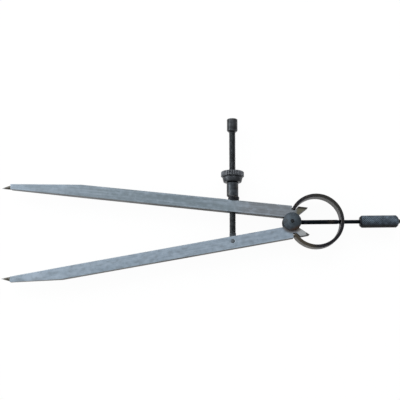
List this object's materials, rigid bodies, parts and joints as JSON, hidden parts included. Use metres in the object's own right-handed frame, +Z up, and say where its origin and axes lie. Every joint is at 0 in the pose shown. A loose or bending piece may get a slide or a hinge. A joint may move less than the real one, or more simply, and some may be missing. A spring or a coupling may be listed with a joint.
{
  "type": "spring divider",
  "caption": "Spring divider with flat tapered legs, hardened points, a bow spring over a fulcrum roller, a knurled handle and a nut on a swinging screw that sets the opening.",
  "frame": {"origin": "middle of the divider's footprint on the table it lies on, as it is set", "axes": "+X from the points to the handle along the middle line of the legs, +Y towards the stop cap, +Z up out of the table, square to the broad side of the legs"},
  "size_m": [0.2714, 0.1082, 0.0158],
  "materials": {
    "ground_steel": "flat ground, satin, bright",
    "point_steel": "hardened and ground, dark",
    "blued_steel": "blued, semi-gloss",
    "knurled_steel": "knurled and blued",
    "plain_steel": "turned, oiled"
  },
  "bodies": {
    "handle": {"fulcrum_roller": "plain_steel", "front_flange": "blued_steel", "back_flange": "blued_steel", "fulcrum_rivet": "plain_steel", "handle_stem": "blued_steel", "handle_grip": "knurled_steel"},
    "upper_arm": {"upper_leg": "ground_steel", "upper_point": "point_steel", "rocker_washer": "blued_steel"},
    "lower_arm": {"lower_leg": "ground_steel", "lower_point": "point_steel", "pivot_pin": "plain_steel"},
    "spring": {"bow_spring": "blued_steel"},
    "screw": {"adjusting_screw": "blued_steel", "stop_cap": "blued_steel"},
    "sleeve": {"thrust_sleeve": "blued_steel"},
    "nut": {"knurled_nut": "knurled_steel"}
  },
  "joints": [
    {"name": "upper_leg_swing", "type": "hinge", "parent": "handle", "child": "upper_arm", "pos_m": [0.06187, -0.02042, 0.0079], "axis": [0, 0, -1], "range_deg": [-8.85, 21.35]},
    {"name": "lower_leg_swing", "type": "hinge", "parent": "handle", "child": "lower_arm", "pos_m": [0.06187, -0.02042, 0.0079], "axis": [0, 0, 1], "range_deg": [-8.85, 21.35]},
    {"name": "screw_swivel", "type": "hinge", "parent": "lower_arm", "child": "screw", "pos_m": [0.02125, -0.03225, 0.0079], "axis": [0, 0, -1], "range_deg": [-8.85, 21.35]},
    {"name": "sleeve_rock", "type": "hinge", "parent": "upper_arm", "child": "sleeve", "pos_m": [0.02231, -0.00543, 0.0079], "axis": [0, 0, 1], "range_deg": [-8.85, 21.35]},
    {"name": "spring_slide", "type": "slide", "parent": "handle", "child": "spring", "axis": [1, 0, 0], "range_m": [-0.00168, 0.00404]},
    {"name": "nut_turn", "type": "hinge", "parent": "sleeve", "child": "nut", "pos_m": [0.02231, -0.00543, 0.0079], "axis": [0.0395, 0.9992, 0], "range_deg": [-5310, 12810]}
  ],
  "couplings": [
    {"joint": "lower_leg_swing", "follows": "upper_leg_swing", "ratio": 1},
    {"joint": "screw_swivel", "follows": "upper_leg_swing", "ratio": 1},
    {"joint": "sleeve_rock", "follows": "upper_leg_swing", "ratio": 1},
    {"joint": "spring_slide", "follows": "upper_leg_swing", "m_per_rad": 0.010847},
    {"joint": "nut_turn", "follows": "upper_leg_swing", "ratio": 600}
  ]
}
